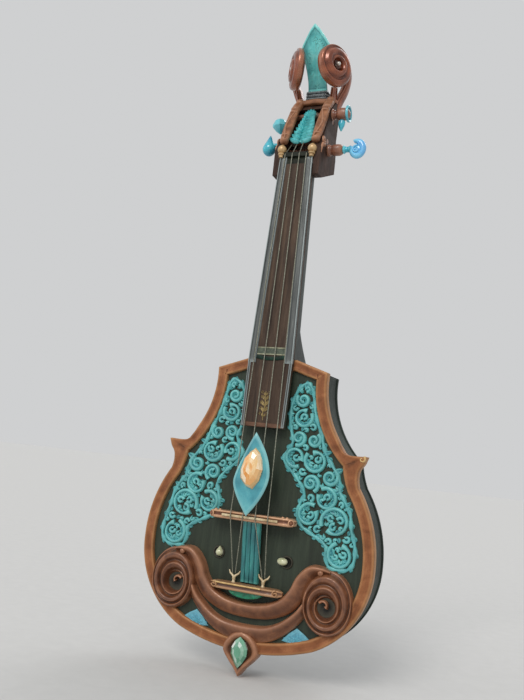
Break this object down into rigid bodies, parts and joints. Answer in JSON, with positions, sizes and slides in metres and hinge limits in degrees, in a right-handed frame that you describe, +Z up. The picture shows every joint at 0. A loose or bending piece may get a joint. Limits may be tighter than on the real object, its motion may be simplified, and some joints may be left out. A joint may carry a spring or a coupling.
{
  "type": "ornamental lute",
  "caption": "Necked lute with a waisted carved body, raised rim, bridge and tailpiece, scrolled head and turning tuning pegs.",
  "frame": {"origin": "on the centre line, level with the underside of the pegbox block where a hanger carries the instrument, and level with the front of the body's rim", "axes": "+Z up the neck towards the head, front faces -Y, +X to the right as seen from the front"},
  "size_m": [0.25, 0.1005, 0.7116],
  "materials": {
    "band_metal": "worn",
    "bar_wood": "satin with a gilt edge",
    "blue_inlay": "gloss blue enamel",
    "body_wood": "satin, green-black stain",
    "bone": "polished bone",
    "bridge_wood": "satin, light copper-brown",
    "carved_rim": "satin, copper-brown stain",
    "carved_scrollwork": "glossy red-brown varnish",
    "collar_metal": "dark worn steel",
    "crystal_glass": "cut and polished, milky amber",
    "cup_metal": "dark patina",
    "dark_horn": "polished dark horn",
    "fingerboard_wood": "satin red-brown",
    "gold_inlay": "soft gold",
    "green_enamel": "gloss green enamel",
    "grey_rail": "worn blue-grey",
    "inner_wood": "bare spruce",
    "jewel_glass": "cut and polished",
    "pearl": "pearl lustre",
    "peg_glass": "polished blue glass",
    "peg_wood": "satin red-brown varnish",
    "pegbox_wood": "satin red-brown varnish",
    "plaque_enamel": "satin turquoise enamel",
    "soundboard_wood": "satin, olive-black stain",
    "string_gut": "pale gut",
    "teal_ribbing": "satin teal enamel",
    "turquoise_carving": "satin turquoise with worn edges"
  },
  "bodies": {
    "root": {"back_braces": "inner_wood", "back_plate": "body_wood", "bottom_jewel": "jewel_glass", "bridge": "bridge_wood", "bridge_saddle": "bone", "corner_inlays": "blue_inlay", "cross_band": "band_metal", "crystal": "crystal_glass", "edge_rails": "grey_rail", "filigree_left": "turquoise_carving", "filigree_right": "turquoise_carving", "fingerboard": "fingerboard_wood", "fingerboard_inlay": "gold_inlay", "jewel_setting": "carved_rim", "lance_blade": "turquoise_carving", "lance_collar": "collar_metal", "leaf_ornament": "turquoise_carving", "linings": "inner_wood", "lower_swag": "carved_scrollwork", "neck": "body_wood", "neck_block": "inner_wood", "nut": "dark_horn", "nut_knobs": "gold_inlay", "pearl_cups": "cup_metal", "pearls": "pearl", "pegbox": "pegbox_wood", "pegbox_frame": "pegbox_wood", "plaque": "plaque_enamel", "ribs": "body_wood", "rim_frame": "carved_rim", "scroll_arms": "carved_scrollwork", "scroll_left": "carved_scrollwork", "scroll_pins": "collar_metal", "scroll_right": "carved_scrollwork", "soundboard": "soundboard_wood", "string_1": "string_gut", "string_2": "string_gut", "string_3": "string_gut", "string_4": "string_gut", "string_bar": "bar_wood", "string_hooks": "bone", "tail_base": "green_enamel", "tail_block": "inner_wood", "tailpiece": "teal_ribbing", "top_braces": "inner_wood", "upper_swag": "carved_scrollwork", "volute_left": "carved_scrollwork", "volute_right": "carved_scrollwork"},
    "peg_1": {"peg_shaft_1": "peg_wood", "peg_head_1": "peg_glass", "winding_1": "string_gut"},
    "peg_2": {"peg_shaft_2": "peg_wood", "peg_head_2": "peg_glass", "winding_2": "string_gut"},
    "peg_3": {"peg_shaft_3": "peg_wood", "peg_head_3": "peg_glass", "winding_3": "string_gut"},
    "peg_4": {"peg_shaft_4": "peg_wood", "peg_head_4": "peg_glass", "winding_4": "string_gut"}
  },
  "joints": [
    {"name": "peg_1_turn", "type": "hinge", "parent": "root", "child": "peg_1", "pos_m": [0, 0.03, 0.0365], "axis": [1, 0, 0], "continuous": true},
    {"name": "peg_2_turn", "type": "hinge", "parent": "root", "child": "peg_2", "pos_m": [0, 0.03, 0.047], "axis": [-1, 0, 0], "continuous": true},
    {"name": "peg_3_turn", "type": "hinge", "parent": "root", "child": "peg_3", "pos_m": [0, 0.046, 0.078], "axis": [-1, 0, 0], "continuous": true},
    {"name": "peg_4_turn", "type": "hinge", "parent": "root", "child": "peg_4", "pos_m": [0, 0.041, 0.0845], "axis": [1, 0, 0], "continuous": true}
  ]
}
